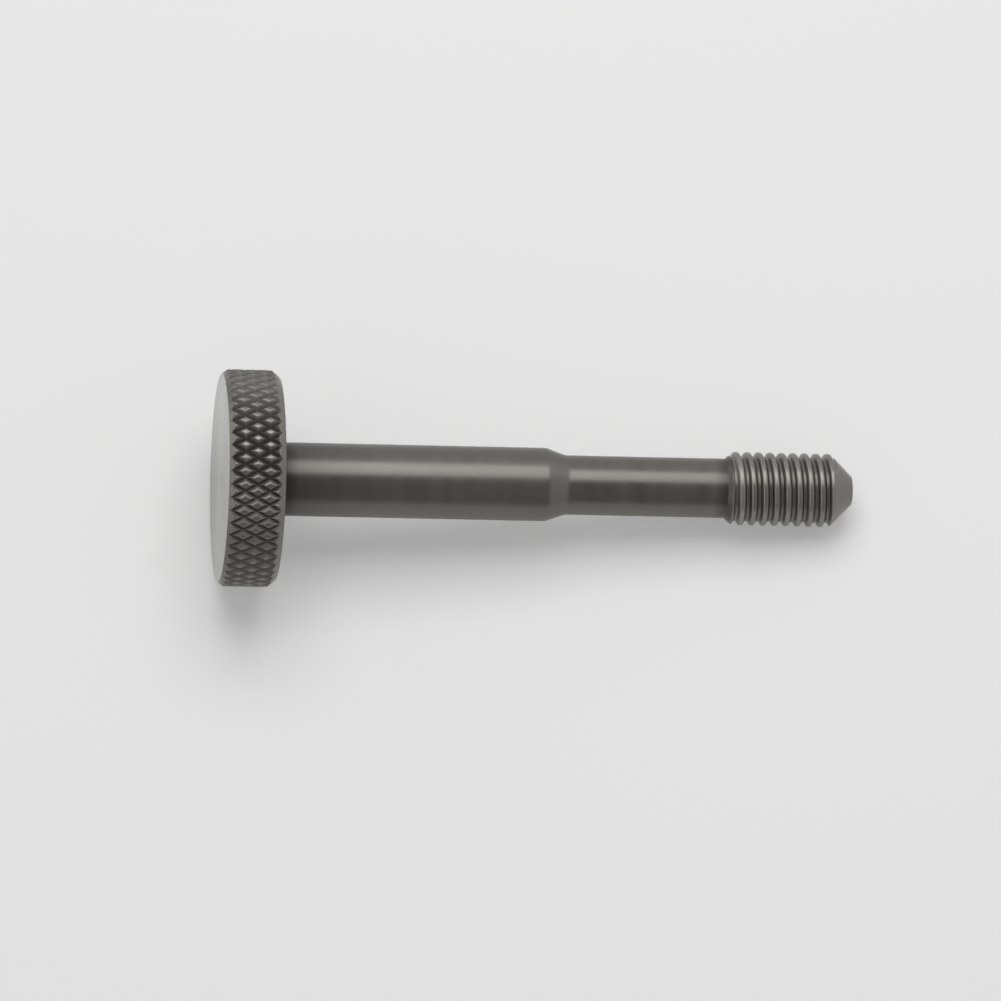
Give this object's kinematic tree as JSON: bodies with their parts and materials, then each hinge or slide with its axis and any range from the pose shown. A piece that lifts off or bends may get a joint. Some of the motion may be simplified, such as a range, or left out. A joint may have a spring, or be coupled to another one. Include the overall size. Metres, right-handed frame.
{
  "type": "thumb bolt",
  "caption": "Knurled-head steel thumb bolt with a plain shank, a thinner relieved neck and a short threaded end with a chamfered tip.",
  "frame": {"origin": "centre of the head's flat outer face, on which the bolt stands", "axes": "+Z runs along the bolt's axis from the head to the threaded tip; the bolt is round, so X and Y are any two directions across it"},
  "size_m": [0.028, 0.028, 0.0823],
  "materials": {
    "turned_steel": "satin, fine turning marks"
  },
  "bodies": {
    "root": {"thumb_bolt": "turned_steel"}
  },
  "joints": []
}
